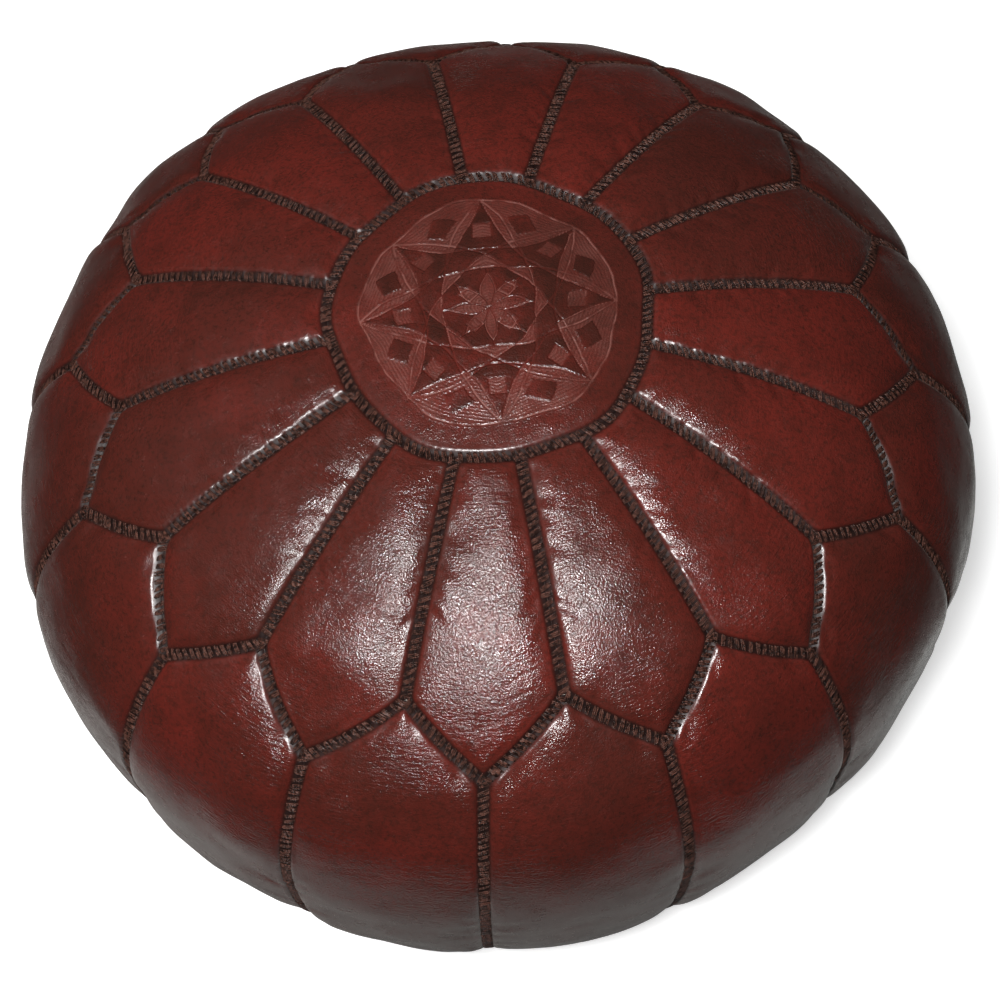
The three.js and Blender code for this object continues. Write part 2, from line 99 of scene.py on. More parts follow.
PUCKER_WIDTH = 1.1 * MM

# The star pressed into the medallion. Its fields are placed in shares of its radius.
STAR_RADIUS = 66 * MM
STAR_TURN = math.radians(-4.5)
DEEP_BOW = 0.51                   # middle of a line between tips a right angle apart
SHALLOW_BOW = 0.36                # middle of a line between opposite tips
DIAMOND_AT = 0.82                 # between two tips
SQUARE_AT = 0.69                  # under each tip
SQUARE_HALF = 0.062
BLOSSOM_RADIUS = 0.31             # the eight small petals in the middle
BLOSSOM_HALF_WIDTH = 0.055
STUD_AT = 0.2                     # four small squares round the middle
STUD_HALF = 0.05
GROOVE_WIDTH = 0.42 * MM          # of the pressed lines
GROOVE_DEPTH = 0.5 * MM
LIP_AT = 1.0 * MM                 # the leather stands up beside a line
LIP_WIDTH = 0.45 * MM
HATCH_PITCH = 1.7 * MM

# The zipped base and the filling.
RECESS = 10.4 * MM                # the base rises this far off the floor beside the zip
ZIP_OPENING = 6.5 * MM            # from the middle to the folded edge of the leather
ZIP_CLOSES = (110.5 * MM, 116 * MM)   # the folded edges come together between these
ZIP_SEWN = (112 * MM, 118 * MM)   # and the folds turn into a seam between these
ZIP_STITCH_OFFSET = 10.5 * MM
ZIP_STITCH_PITCH = 3.6 * MM
ZIP_STITCH_END = 117 * MM
END_SEAM = (131 * MM, 154 * MM)   # the base's halves are sewn together between these
STUFFING_UNDERSIDE = 17.5 * MM

rng = np.random.default_rng(16)


# ---- The body's outline ----

def superellipse(count, depth, power):
    """Radius and height along a quarter of a superellipse, from its pole to its widest point."""
    angle = np.linspace(0, math.pi / 2, count)
    return RADIUS * np.sin(angle) ** (2 / power), depth * np.abs(np.cos(angle)) ** (2 / power)


def make_outline():
    """Half of the body's outline, from the middle of the top to the middle of the underside."""
    upper_r, upper_z = superellipse(500, TOP_RISE, TOP_POWER)
    depth = np.linspace(0, HEEL_DEPTH, 150)[1:]
    side_r = RADIUS * (1 - (depth / SIDE_REACH) ** SIDE_POWER) ** (1 / SIDE_POWER)
    slope = -(side_r[-1] - side_r[-2]) / (depth[-1] - depth[-2])
    start = math.atan(slope)
    heel_radius = (WIDEST - HEEL_DEPTH) / (1 - math.sin(start))
    angle = np.linspace(start, math.pi / 2, 60)[1:]
    heel_r = side_r[-1] + heel_radius * (np.cos(angle) - math.cos(start))
    heel_z = heel_radius * (1 - np.sin(angle))
    flat_r = np.linspace(heel_r[-1], 0, 80)[1:]
    r = np.concatenate([upper_r, side_r, heel_r, flat_r])
    z = np.concatenate([WIDEST + upper_z, WIDEST - depth, heel_z, np.zeros_like(flat_r)])
    s = np.concatenate([[0], np.cumsum(np.hypot(np.diff(r), np.diff(z)))])
    even = np.linspace(0, s[-1], 1600)
    r, z = np.interp(even, s, r), np.interp(even, s, z)
    along_r, along_z = np.gradient(r, even), np.gradient(z, even)
    length = np.hypot(along_r, along_z)
    return {"s": even, "r": r, "z": z, "nr": -along_z / length, "nz": along_r / length}


OUTLINE = make_outline()


def outline(s, key):
    return np.interp(s, OUTLINE["s"], OUTLINE[key])


def upper_at(radius):
    """The distance along the outline at which the upper half has that radius."""
    upper = OUTLINE["z"] > WIDEST
    return np.interp(radius, OUTLINE["r"][upper], OUTLINE["s"][upper])


S_MEDALLION = upper_at(MEDALLION_RADIUS)
S_PEAK = upper_at(SPOKE_END_RADIUS)
S_TIP = upper_at(PETAL_TIP_RADIUS)
S_MIDDLE = OUTLINE["s"][-1]         # the middle of the underside
S_BASE = S_MIDDLE - BASE_RADIUS
ZIGZAG = S_TIP - S_PEAK


def wobble(angle, waves):
    """A smooth wave round the body: the sum of size * sin(turns * angle + phase)."""
    return sum(size * np.sin(turns * angle + phase) for turns, size, phase in waves)


# Nothing sewn by hand is quite regular: seams wander, and the body is a little out of round.
SEAM_SWING = [(1, 0.016, 2.6), (3, 0.008, 2.5), (4, 0.007, 0.0), (9, 0.003, 0.7)]
SEAM_SHIFT = [(1, 3.5 * MM, 0.0), (2, 2.0 * MM, -1.4), (5, 2.5 * MM, 0.0), (11, 0.8 * MM, 0.2)]
OUT_OF_ROUND = [(1, 0.003, 0.0), (2, 0.010, 0.6), (3, 0.005, 1.6), (4, 0.003, -1.6), (5, 0.005, -2.9)]
DRAWN_IN = 0.012                  # the seams hold the widest level in by this share


def place(theta, s, height=0.0):
    """The point at the angle theta and the distance s along the outline, height outside it."""
    share = np.clip(s / S_TIP, 0, 1) * np.clip((S_BASE - s) / (S_BASE - S_TIP), 0, 1)
    share = np.clip(share * 2, 0, 1)
    s = s + share * wobble(theta, SEAM_SHIFT)
    theta = theta + share * wobble(theta, SEAM_SWING)
    r, z = outline(s, "r"), outline(s, "z")
    out_r, out_z = outline(s, "nr"), outline(s, "nz")
    radius = (r + height * out_r) * (1 + (wobble(theta, OUT_OF_ROUND) - DRAWN_IN) * r / RADIUS)
    return np.stack([radius * np.cos(theta), radius * np.sin(theta), z + height * out_z], -1)


def above_floor(points):
    """The points with everything that would sink into the floor pressed flat on it."""
    softness = 0.5 * MM
    flat, z = points.copy(), points[..., 2]
    lift = np.logaddexp(0, (z - FLOOR_GAP) / softness) * softness + FLOOR_GAP
    flat[..., 2] = np.where(z < 4 * MM, lift, z)
    return flat


# ---- Noise and sampling ----

LATTICE = rng.random((64, 64)) * 2 - 1


def noise(x, y, cell, layer):
    """Smooth noise from -1 to 1. Each layer is different."""
    x, y = x / cell + layer * 17.31, y / cell + layer * 9.73
    i, j = np.floor(x).astype(int), np.floor(y).astype(int)
    u, v = x - i, y - j
    u, v = u * u * u * (u * (u * 6 - 15) + 10), v * v * v * (v * (v * 6 - 15) + 10)
    corner = [[LATTICE[(i + a) % 64, (j + b) % 64] for b in (0, 1)] for a in (0, 1)]
    low = corner[0][0] * (1 - v) + corner[0][1] * v
    high = corner[1][0] * (1 - v) + corner[1][1] * v
    return low * (1 - u) + high * u


def smooth_step(low, high, value):
    t = np.clip((value - low) / (high - low), 0, 1)
    return t * t * (3 - 2 * t)


def spline_weights(places, count):
    """The matrix that takes values at count even places from 0 to 1 to a smooth curve's values
    at the given places (a Catmull-Rom spline)."""
    matrix = np.zeros((len(places), count))
    at = np.clip(places, 0, 1) * (count - 1)
    cell = np.minimum(at.astype(int), count - 2)
    t = at - cell
    weights = [-0.5 * t**3 + t**2 - 0.5 * t, 1.5 * t**3 - 2.5 * t**2 + 1,
               -1.5 * t**3 + 2 * t**2 + 0.5 * t, 0.5 * t**3 - 0.5 * t**2]
    for offset, weight in zip((-1, 0, 1, 2), weights):
        column = np.clip(cell + offset, 0, count - 1)
        np.add.at(matrix, (np.arange(len(places)), column), weight)
    return matrix


def edge_spaced(length, edge, middle, band):
    """Places from 0 to 1 along a length, edge apart within band of both ends, else middle."""
    near = np.linspace(0, band, max(2, round(band / edge)), endpoint=False)
    count = max(2, round((length - 2 * band) / middle))
    centre = np.linspace(band, length - band, count + 1)
    return np.concatenate([near, centre, (length - near)[::-1]]) / length


# ---- Seams ----

def pitch_over(length):
    """The stitch pitch that divides a seam of that length evenly."""
    return length / round(length / STITCH_PITCH)


LEAN = math.hypot(ZIGZAG, (SPOKE_END_RADIUS + PETAL_TIP_RADIUS) / 2 * HALF)
LEAN_RUN = (SPOKE_END_RADIUS + PETAL_TIP_RADIUS) / 2 * HALF / LEAN
SPOKE_PITCH = pitch_over(S_PEAK - S_MEDALLION)
SIDE_PITCH = pitch_over(S_BASE - S_TIP)
LEAN_PITCH = pitch_over(LEAN)
RING_PITCH = pitch_over(2 * math.pi * MEDALLION_RADIUS)
BASE_PITCH = pitch_over(2 * math.pi * BASE_RADIUS)
END_PITCH = pitch_over(END_SEAM[1] - END_SEAM[0])


def roll_down(distance):
    """The rounded edge of a panel, as a height, from the distance to its seam."""
    inside = np.clip(distance / ROLL_WIDTH, 0, 1)
    edge = ROLL_DEPTH * (np.sqrt(np.clip(1 - (1 - inside) ** 2, 0, 1)) - 1)
    bent = np.logaddexp(0, (SHOULDER - distance) / SHOULDER_SOFTNESS) * SHOULDER_SOFTNESS
    ridge = RIDGE * np.exp(-(((distance - RIDGE_AT) / RIDGE_WIDTH) ** 2))
    return edge - SEAM_SLOPE * bent + ridge


def nearest(seams):
    """The distance to the nearest of some seams, rounded off where two are equally near."""
    softness = 0.9 * MM
    total = sum(np.exp(-np.clip(d, -10 * MM, 200 * MM) / softness) for d, _, _, _ in seams)
    return np.maximum(-softness * np.log(total), 0)


def puckered(seams):
    """Dimples where stitches pull on the leather, from (distance, along, side, pitch)."""
    height = 0
    for distance, along, side, pitch in seams:
        turns = (along + side * STITCH_SLANT / 2) / pitch
        row = np.exp(-(((distance - STITCH_REACH) / PUCKER_WIDTH) ** 2))
        height = height - PUCKER * row * (0.5 + 0.5 * np.cos(2 * math.pi * (turns - 0.5)))
    return height


def sunk_underneath(s, distance):
    """The leather beside a seam is drawn in where the body stands on it."""
    under = smooth_step(0.6, 0.95, -outline(s, "nz"))
    return -SINK * under * (1 - smooth_step(4 * MM, 10 * MM, distance))


def creases(x, y, layer):
    """Fine wrinkles that run across a panel, strongest in patches."""
    bend = 9 * MM * noise(x, y, 38 * MM, layer + 3)
    lines = noise(x / (55 * MM), (y + bend + 0.25 * x) / (7 * MM), 1, layer)
    thin = np.exp(-((lines / 0.10) ** 2))
    patch = smooth_step(-0.2, 0.6, noise(x / (60 * MM), y / (50 * MM), 1, layer + 1))
    folds = noise(x / (40 * MM), (y + bend) / (16 * MM), 1, layer + 7)
    return -0.16 * MM * patch * thin - 0.35 * MM * patch * np.clip(folds, 0, 1) ** 2


def uneven(x, y, layer):
    """Broad unevenness of hand-stuffed leather."""
    broad = 0.9 * MM * noise(x, y, 50 * MM, layer)
    middle = 0.45 * MM * noise(x, y, 24 * MM, layer + 5)
    return broad + middle + 0.12 * MM * noise(x, y, 10 * MM, layer + 9)


def puffed(distance, x, y, layer):
    """How the stuffing fills the leather out beside the seams, more in some places."""
    share = 1 - np.exp(-np.maximum(distance - SHOULDER, 0) / PUFF_WIDTH)
    return PUFF * share * (1 + 0.7 * noise(x, y, 36 * MM, layer + 13))


def leather_height(seams, s, x, y, layer):
    """What seams, wrinkles and unevenness add to a panel's swell, and the distance to a seam."""
    distance = nearest(seams)
    inner = smooth_step(0, 9 * MM, distance)
    height = roll_down(distance) + puckered(seams) + sunk_underneath(s, distance)
    height = height + puffed(distance, x, y, layer)
    return height + inner * (uneven(x, y, layer) + creases(x, y, layer)), distance


# ---- Panels ----

class Panel:
    """A leather panel between seams, on a grid of across (-1 to 1) and down (0 to 1)."""

    def __init__(self, number, name, node, middle):
        self.number = number
        self.name = name
        self.node = node
        self.middle = middle      # angle of its middle line
        self.swell = None         # how far each point of the coarse grid is blown out

    def surface(self, across, down):
        """The angles from the middle line, and the distances along the outline, of a grid."""
        a, d = np.meshgrid(across, down)
        phi = a * HALF
        return phi, self.top(phi) + d * (self.bottom(phi) - self.top(phi))

    def height(self, phi, s):
        """How far the outer face stands outside the plain body, and the distance to a seam."""
        rows, columns = self.swell.shape
        down = ((s - self.top(phi)) / (self.bottom(phi) - self.top(phi))).ravel()
        by_row = spline_weights(down, rows) @ self.swell
        swell = (by_row * spline_weights((phi.ravel() / HALF + 1) / 2, columns)).sum(1)
        x, y = outline(s, "r") * phi, s
        height, distance = leather_height(self.seams(phi, s), s, x, y, self.number)
        return swell.reshape(phi.shape) + height, distance


class Petal(Panel):
    crown = 4.5 * MM              # most that its middle may stand out
    coarse = (27, 13)             # rows and columns of the grid that is blown up

    def top(self, phi):
        return np.full_like(phi, S_MEDALLION)

    def bottom(self, phi):
        return S_TIP - ZIGZAG * np.abs(phi) / HALF

    def seams(self, phi, s):
        """(distance, place along it, side, stitch pitch) for each seam round the panel."""
        radius = outline(s, "r")
        return [
            (radius * (phi + HALF), s - S_MEDALLION, 1, SPOKE_PITCH),
            (radius * (HALF - phi), s - S_MEDALLION, -1, SPOKE_PITCH),
            (s - S_MEDALLION, MEDALLION_RADIUS * (phi + self.middle), -1, RING_PITCH),
            ((self.bottom(phi) - s) * LEAN_RUN, LEAN * np.mod(phi / HALF, 1), 1, LEAN_PITCH),
        ]


class SidePanel(Panel):
    crown = 6 * MM
    coarse = (61, 15)

    def top(self, phi):
        return S_PEAK + ZIGZAG * np.abs(phi) / HALF

    def bottom(self, phi):
        return np.full_like(phi, S_BASE)

    def seams(self, phi, s):
        radius = outline(s, "r")
        return [
            (radius * (phi + HALF), s - S_TIP, 1, SIDE_PITCH),
            (radius * (HALF - phi), s - S_TIP, -1, SIDE_PITCH),
            ((s - self.top(phi)) * LEAN_RUN, LEAN * np.mod(phi / HALF, 1), -1, LEAN_PITCH),
            (S_BASE - s, BASE_RADIUS * (phi + self.middle), 1, BASE_PITCH),
        ]


PETALS = [Petal(i, f"petal_leather_{i + 1:02d}", f"petal_{i + 1:02d}", (i + 0.5) * SECTOR)
          for i in range(SECTORS)]
SIDES = [SidePanel(20 + i, f"side_leather_{i + 1:02d}", f"side_panel_{i + 1:02d}", i * SECTOR)
         for i in range(SECTORS)]


def medallion_height(theta, s):
    """The medallion's outer face without its star, and the distance to its seam."""
    radius = outline(s, "r")
    seam = [(S_MEDALLION - s, MEDALLION_RADIUS * theta, 1, RING_PITCH)]
    x, y = radius * np.cos(theta), radius * np.sin(theta)
    height, distance = leather_height(seam, s, x, y, 50)
    return height + MEDALLION_CROWN * (1 - (radius / MEDALLION_RADIUS) ** 2), distance


def base_rise(x, y):
    """How far the base rises off the floor to make room for the zip."""
    beside = 1 - smooth_step(18 * MM, 75 * MM, np.abs(y))
    beyond = 1 - smooth_step(119 * MM, 156 * MM, np.abs(x))
    return RECESS * beside * beyond


def base_edge(x):
    """How far each half of the base stops from the zip's middle line."""
    closed = smooth_step(*ZIP_CLOSES, np.abs(x))
    return ZIP_OPENING * (1 - closed) + EDGE_GAP * closed


def base_height(theta, s):
    """The base's outer face below the floor's level, and the distance to a seam."""
    radius = outline(s, "r")
    x, y = radius * np.cos(theta), np.abs(radius * np.sin(theta))
    to_edge = np.maximum(y - base_edge(x), 0)
    sewn = smooth_step(*ZIP_SEWN, np.abs(x))
    rim = (s - S_BASE, BASE_RADIUS * theta, -1, BASE_PITCH)
    end = (to_edge + 30 * MM * (1 - sewn), np.abs(x) - END_SEAM[0], 1, END_PITCH)
    height, distance = leather_height([rim, end], s, x, y, 60 + (np.sin(theta) < 0))
    fold = (1 - sewn) * roll_down(to_edge * SHOULDER / (1.3 * MM)) * 0.35
    return height + fold - base_rise(x, y), np.minimum(distance, to_edge)


def cover_height(theta, s):
    """How far the cover's outer face stands outside the plain body at some places."""
    height = np.where(s < S_MEDALLION, medallion_height(theta, s)[0], base_height(theta, s)[0])
    covered = (s >= S_MEDALLION) & (s <= S_BASE)
    for panel in PETALS + SIDES:
        phi = np.mod(theta - panel.middle + math.pi, 2 * math.pi) - math.pi
        inside = covered & (np.abs(phi) <= HALF) & (s > panel.top(phi)) & (s <= panel.bottom(phi))
        if inside.any():
            height[inside] = panel.height(phi[inside], s[inside])[0]
    return height


# ---- Blowing the cover up ----

def coarse_grid(panel):
    rows, columns = panel.coarse
    return panel.surface(np.linspace(-1, 1, columns), np.linspace(0, 1, rows))


def blow_up(panels):
    """Blows the panels up as cloth held along its seams. Each keeps how far its points moved."""
    points, faces, held, firsts = [], [], [], []
    for panel in panels:
        phi, s = coarse_grid(panel)
        first = sum(len(p) for p in points)
        firsts.append(first)
        points.append(place(panel.middle + phi, s).reshape(-1, 3))
        index = first + np.arange(phi.size).reshape(phi.shape)
        faces.append(quads(index))
        edge = np.ones(phi.shape, bool)
        edge[1:-1, 1:-1] = False
        held.append(index[edge])
    rest = np.concatenate(points)
    cover = mesh_object("cover_to_inflate", rest, np.concatenate(faces))
    pins = cover.vertex_groups.new(name="seams")
    pins.add(np.concatenate(held).tolist(), 1.0, "REPLACE")
    cloth = cover.modifiers.new("Cloth", "CLOTH")
    settings = cloth.settings
    settings.quality = 5
    settings.mass = 0.4
    settings.tension_stiffness = 30
    settings.compression_stiffness = 30
    settings.shear_stiffness = 15
    settings.bending_stiffness = 5
    settings.air_damping = 3
    settings.use_pressure = True
    settings.uniform_pressure_force = 4.0
    settings.vertex_group_mass = "seams"
    settings.shrink_min = -0.007
    settings.effector_weights.gravity = 0
    cloth.collision_settings.use_collision = False
    last = 20
    cloth.point_cache.frame_start = 1
    cloth.point_cache.frame_end = last
    for number in range(1, last + 1):
        bpy.context.scene.frame_set(number)
    blown = cover.evaluated_get(bpy.context.evaluated_depsgraph_get())
    moved = np.zeros(len(rest) * 3)
    blown.data.vertices.foreach_get("co", moved)
    moved = moved.reshape(-1, 3) - rest
    bpy.context.scene.frame_set(1)
    for panel, first in zip(panels, firsts):
        phi, s = coarse_grid(panel)
        out = place(panel.middle + phi, s, 1 * MM) - place(panel.middle + phi, s)
        out = out / np.linalg.norm(out, axis=-1, keepdims=True)
        step = moved[first:first + phi.size].reshape(*phi.shape, 3)
        panel.swell = panel.crown * np.tanh((step * out).sum(-1) / panel.crown)
    bpy.data.objects.remove(cover)


# ---- Meshes ----

def quads(index):
    """The faces of a grid of vertex numbers whose rows run down and columns anticlockwise."""
    a, b, c, d = index[:-1, :-1], index[1:, :-1], index[1:, 1:], index[:-1, 1:]
    return np.stack([a, b, c, d], -1).reshape(-1, 4)


def mesh_object(name, points, *face_sets):
    """A smooth mesh object. Each set of faces has its own number of corners."""
    sizes = np.concatenate([np.full(len(f), f.shape[1]) for f in face_sets])
    corners = np.concatenate([np.asarray(f).ravel() for f in face_sets]).astype(np.int32)
    starts = np.concatenate([[0], np.cumsum(sizes)[:-1]]).astype(np.int32)
    mesh = bpy.data.meshes.new(name)
    mesh.vertices.add(len(points))
    mesh.vertices.foreach_set("co", np.asarray(points, np.float32).ravel())
    mesh.loops.add(len(corners))
    mesh.loops.foreach_set("vertex_index", corners)
    mesh.polygons.add(len(sizes))
    mesh.polygons.foreach_set("loop_start", starts)
    mesh.polygons.foreach_set("use_smooth", np.ones(len(sizes), bool))
    mesh.update(calc_edges=True)
    mesh.validate()
    made = bpy.data.objects.new(name, mesh)
    bpy.context.scene.collection.objects.link(made)
    return made


def unit(vectors):
    return vectors / np.maximum(np.linalg.norm(vectors, axis=-1, keepdims=True), 1e-12)


def grid_normals(grid):
    """Unit normals of a grid of points, outward for a panel's outer surface."""
    return unit(np.cross(np.gradient(grid, axis=0), np.gradient(grid, axis=1)))


def rim_faces(fine, coarse, places):
    """Triangles between a fine edge of a grid and the coarse edge behind it."""
    faces = []
    for k in range(len(places) - 1):
        low, high = places[k], places[k + 1]
        middle = (low + high) // 2
        faces += [(fine[j + 1], fine[j], coarse[k]) for j in range(low, middle)]
        faces.append((fine[middle], coarse[k], coarse[k + 1]))
        faces += [(fine[j + 1], fine[j], coarse[k + 1]) for j in range(middle, high)]
    return faces


def shell(name, outer, thickness, step=5):
    """A closed shell: a fine outer grid, a coarse inner one thickness behind it, and a rim."""
    rows, columns = outer.shape[:2]
    pick_rows = [*range(0, rows - 1, step), rows - 1]
    pick_columns = [*range(0, columns - 1, step), columns - 1]
    inner = (outer - grid_normals(outer) * thickness)[np.ix_(pick_rows, pick_columns)]
    front = np.arange(rows * columns).reshape(rows, columns)
    back = rows * columns + np.arange(inner[..., 0].size).reshape(inner.shape[:2])
    rim = (
        rim_faces(front[0], back[0], pick_columns)
        + rim_faces(front[::-1, 0], back[::-1, 0], [rows - 1 - r for r in pick_rows[::-1]])
        + rim_faces(front[-1, ::-1], back[-1, ::-1], [columns - 1 - c for c in pick_columns[::-1]])
        + rim_faces(front[:, -1], back[:, -1], pick_rows)
    )
    points = np.concatenate([outer.reshape(-1, 3), inner.reshape(-1, 3)])
    return mesh_object(name, points, quads(front), quads(back)[:, ::-1], np.array(rim))


def turned(name, rings, top, bottom):
    """A closed mesh through rings of points from its top pole to its bottom pole."""
    rows, columns = rings.shape[:2]
    index = np.arange(rows * columns).reshape(rows, columns)
    index = np.concatenate([index, index[:, :1]], 1)
    first, last = np.full(columns, rows * columns), np.full(columns, rows * columns + 1)
    caps = [np.stack([first, index[0, :-1], index[0, 1:]], -1),
            np.stack([last, index[-1, 1:], index[-1, :-1]], -1)]
    points = np.concatenate([rings.reshape(-1, 3), [top, bottom]])
    return mesh_object(name, points, quads(index), np.concatenate(caps))


def tubes(name, paths, beside, radius, sides=5):
    """A short closed tube with narrow ends along each path. Beside is at right angles to it."""
    along = unit(np.gradient(paths, axis=1))
    beside = np.broadcast_to(beside[:, None, :], paths.shape)
    over = unit(np.cross(along, beside))
    turn = np.arange(sides) * 2 * math.pi / sides
    ring = (beside[:, :, None] * np.cos(turn)[:, None] + over[:, :, None] * np.sin(turn)[:, None])
    thin = np.ones(paths.shape[1])
    thin[[0, -1]] = 0.6
    points = paths[:, :, None] + ring * radius * thin[:, None, None]
    index = np.arange(points[..., 0].size).reshape(points.shape[:3])
    round_index = np.concatenate([index, index[:, :, :1]], 2)
    a, b = round_index[:, :-1, :-1], round_index[:, :-1, 1:]
    c, d = round_index[:, 1:, 1:], round_index[:, 1:, :-1]
    walls = np.stack([a, b, c, d], -1).reshape(-1, 4)
    ends = np.concatenate([index[:, 0, ::-1], index[:, -1]])
    return mesh_object(name, points.reshape(-1, 3), walls, ends)


def paint(piece, name, values):
    """Stores a number for each of a mesh's first vertices, for its material to read."""
    layer = piece.data.attributes.new(name, "FLOAT", "POINT")
    every = np.zeros(len(piece.data.vertices), np.float32)
    every[:values.size] = values.ravel()
    layer.data.foreach_set("value", every)


# ---- Stitches ----

def stitch_row(start, end):
    """Each stitch's middle (angle, distance) on a straight seam, and the seam's direction."""
    start, end = np.array(start), np.array(end)
    share = np.linspace(0, 1, 400)
    radius = outline(start[1] + share * (end - start)[1], "r")
    pieces = np.hypot((end - start)[0] * radius, (end - start)[1]) * (share[1] - share[0])
    run = np.concatenate([[0], np.cumsum(pieces[1:])])
    count = round(run[-1] / STITCH_PITCH)
    middle = np.interp((np.arange(count) + 0.5) / count * run[-1], run, share)
    places = start + middle[:, None] * (end - start)
    way = (end - start) * np.stack([outline(places[:, 1], "r"), np.ones(count)], -1)
    return np.concatenate([places, unit(way)], 1)


def sew(name, rows):
    """Whip stitches: a few strands side by side that dip into a hole on either side."""
    rows = np.concatenate(rows)
    count = len(rows)
    shift = rng.normal(0, 0.3 * MM, (count, 1, 1))
    slant = STITCH_SLANT * rng.normal(1, 0.28, (count, 1, 1))
    slant = slant + rng.normal(0, 0.3 * MM, (count, STRANDS, 1))
    spread = STITCH_REACH * rng.normal(1, 0.05, (count, STRANDS, 1))
    across = np.array([-1, -0.93, -0.6, -0.22, 0.22, 0.6, 0.93, 1]).reshape(1, 1, -1)
    strand = (np.arange(STRANDS) - (STRANDS - 1) / 2).reshape(1, -1, 1)
    gather = 1 - 0.25 * across ** 2       # the strands draw together towards the holes
    along = shift + strand * STRAND_SPACING * gather + slant * across / 2
    side = spread * across
    theta, s, way_x, way_y = (rows[:, k].reshape(-1, 1, 1) for k in range(4))
    radius = outline(s, "r")
    at_theta = theta + (along * way_x - side * way_y) / radius
    at_s = s + along * way_y + side * way_x
    leather = cover_height(at_theta.ravel(), at_s.ravel()).reshape(at_s.shape)
    share = (across / across.max() + 1) / 2
    taut = leather[..., 1:2] * (1 - share) + leather[..., -2:-1] * share
    lift = np.array([-1.3, 0.15, 0.34, 0.36, 0.36, 0.34, 0.15, -1.3]) * MM
    loose = rng.normal(0, 0.14 * MM, (count, STRANDS, 1)) + 0.08 * MM * (1 - np.abs(strand))
    height = taut + lift + loose
    paths = place(at_theta, at_s, height).reshape(-1, across.size, 3)
    paths[..., 2] = np.maximum(paths[..., 2], FLOOR_GAP + STRAND_RADIUS)
    step = place(theta + 1 * MM * way_x / radius, s + 1 * MM * way_y) - place(theta, s)
    beside = np.repeat(unit(step).reshape(-1, 1, 3), STRANDS, 1).reshape(-1, 3)
    return tubes(name, paths, beside, STRAND_RADIUS)


# ---- The star on the medallion ----

def fold_to_tip(x, y):
    """A place in the star, in its own radii, turned and mirrored to the nearest tip's side."""
    angle = np.arctan2(y, x) - STAR_TURN
    off_tip = np.abs(np.mod(angle + math.pi / 8, math.pi / 4) - math.pi / 8)
    radius = np.hypot(x, y)
    return radius * np.cos(off_tip), radius * np.sin(off_tip)


def bow(x, y, turn, depth):
    """How far a place is outside a bowed line whose middle is at depth, turned from this tip.
    A deep bow joins tips a right angle apart and bulges inward. A shallow one joins opposite
    tips and bulges outward."""
    dx, dy = math.cos(turn), math.sin(turn)
    if depth > 0.4:
        centre = (0.5 * (1 - depth ** 2)) / (math.cos(math.pi / 4) - depth)
        return (centre - depth) - np.hypot(x - centre * dx, y - centre * dy)
    centre = (1 - depth ** 2) / (2 * depth)
    return np.hypot(x + centre * dx, y + centre * dy) - (centre + depth)


